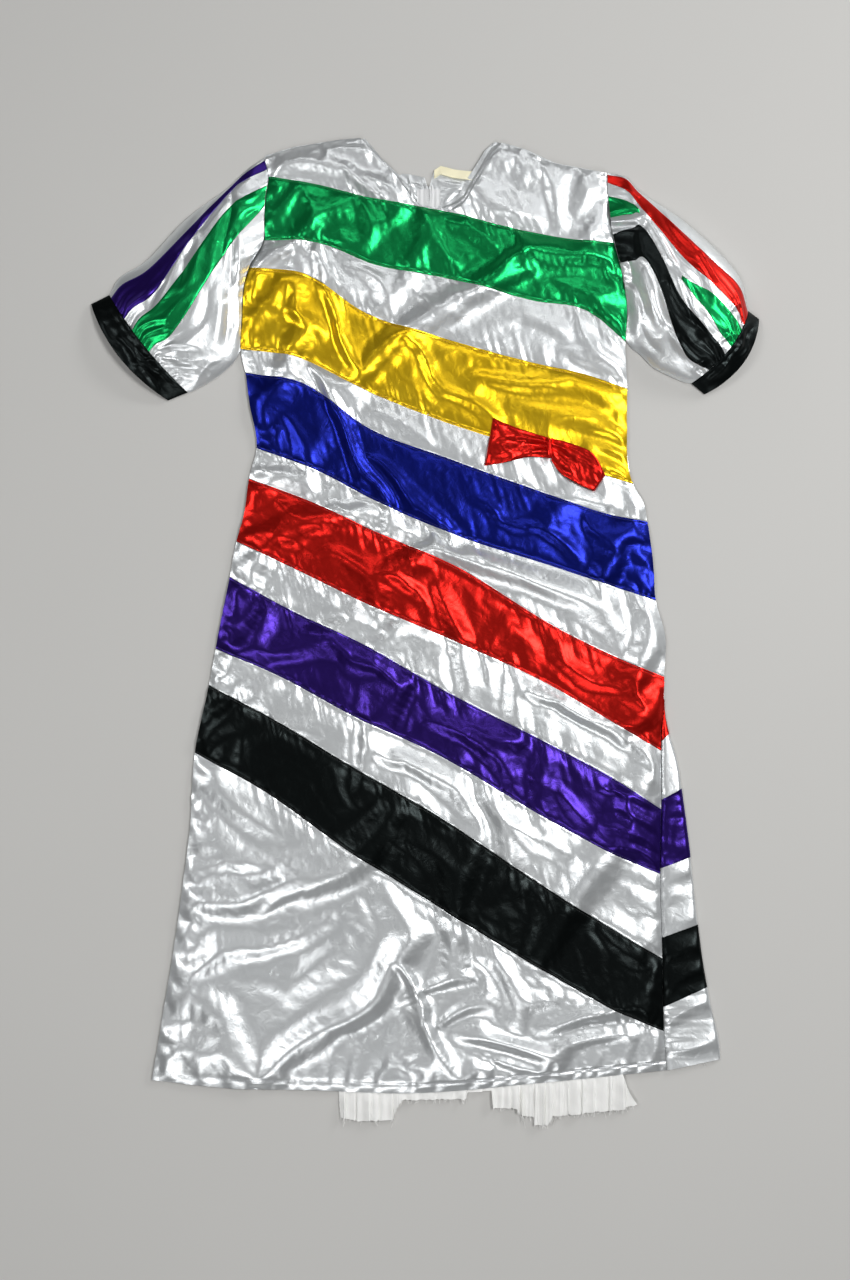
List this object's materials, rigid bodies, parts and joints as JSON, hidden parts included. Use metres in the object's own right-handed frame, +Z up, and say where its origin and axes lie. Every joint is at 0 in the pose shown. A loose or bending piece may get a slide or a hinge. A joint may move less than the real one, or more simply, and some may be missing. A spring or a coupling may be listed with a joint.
{
  "type": "creole costume dress",
  "caption": "Satin A-line costume dress laid flat, front up, with slanting coloured bands, full sleeves gathered into cuffs, a waist bow and a frill under the hem.",
  "frame": {"origin": "centre of the dress's outline, on the surface that it lies on", "axes": "+X to the right as the dress is seen from above, +Y from hem to shoulders, +Z up from the surface"},
  "size_m": [0.734, 1.0836, 0.0355],
  "materials": {
    "white_satin": "white polyester satin, glossy",
    "green_satin": "green polyester satin, glossy",
    "yellow_satin": "yellow polyester satin, glossy",
    "blue_satin": "blue polyester satin, glossy",
    "red_satin": "red polyester satin, glossy",
    "purple_satin": "purple polyester satin, glossy",
    "black_satin": "black polyester satin, glossy",
    "cream_facing": "cream lining cloth, matt",
    "zip_tape": "white woven zip tape, matt",
    "white_cotton": "white plain cotton, matt, raw edge"
  },
  "bodies": {
    "root": {"front": "white_satin", "back_left": "white_satin", "back_right": "white_satin", "band_green": "green_satin", "band_yellow": "yellow_satin", "band_blue": "blue_satin", "band_red": "red_satin", "band_purple": "purple_satin", "band_black": "black_satin", "turn_purple": "purple_satin", "turn_black": "black_satin", "sleeve_left": "white_satin", "sleeve_left_purple": "purple_satin", "sleeve_left_green": "green_satin", "cuff_left": "black_satin", "sleeve_right": "white_satin", "sleeve_right_red": "red_satin", "sleeve_right_green": "green_satin", "sleeve_right_black": "black_satin", "cuff_right": "black_satin", "neck_facing": "cream_facing", "zip": "zip_tape", "petticoat_ruffle": "white_cotton", "bow_left": "red_satin", "bow_right": "red_satin", "bow_knot": "red_satin"}
  },
  "joints": []
}
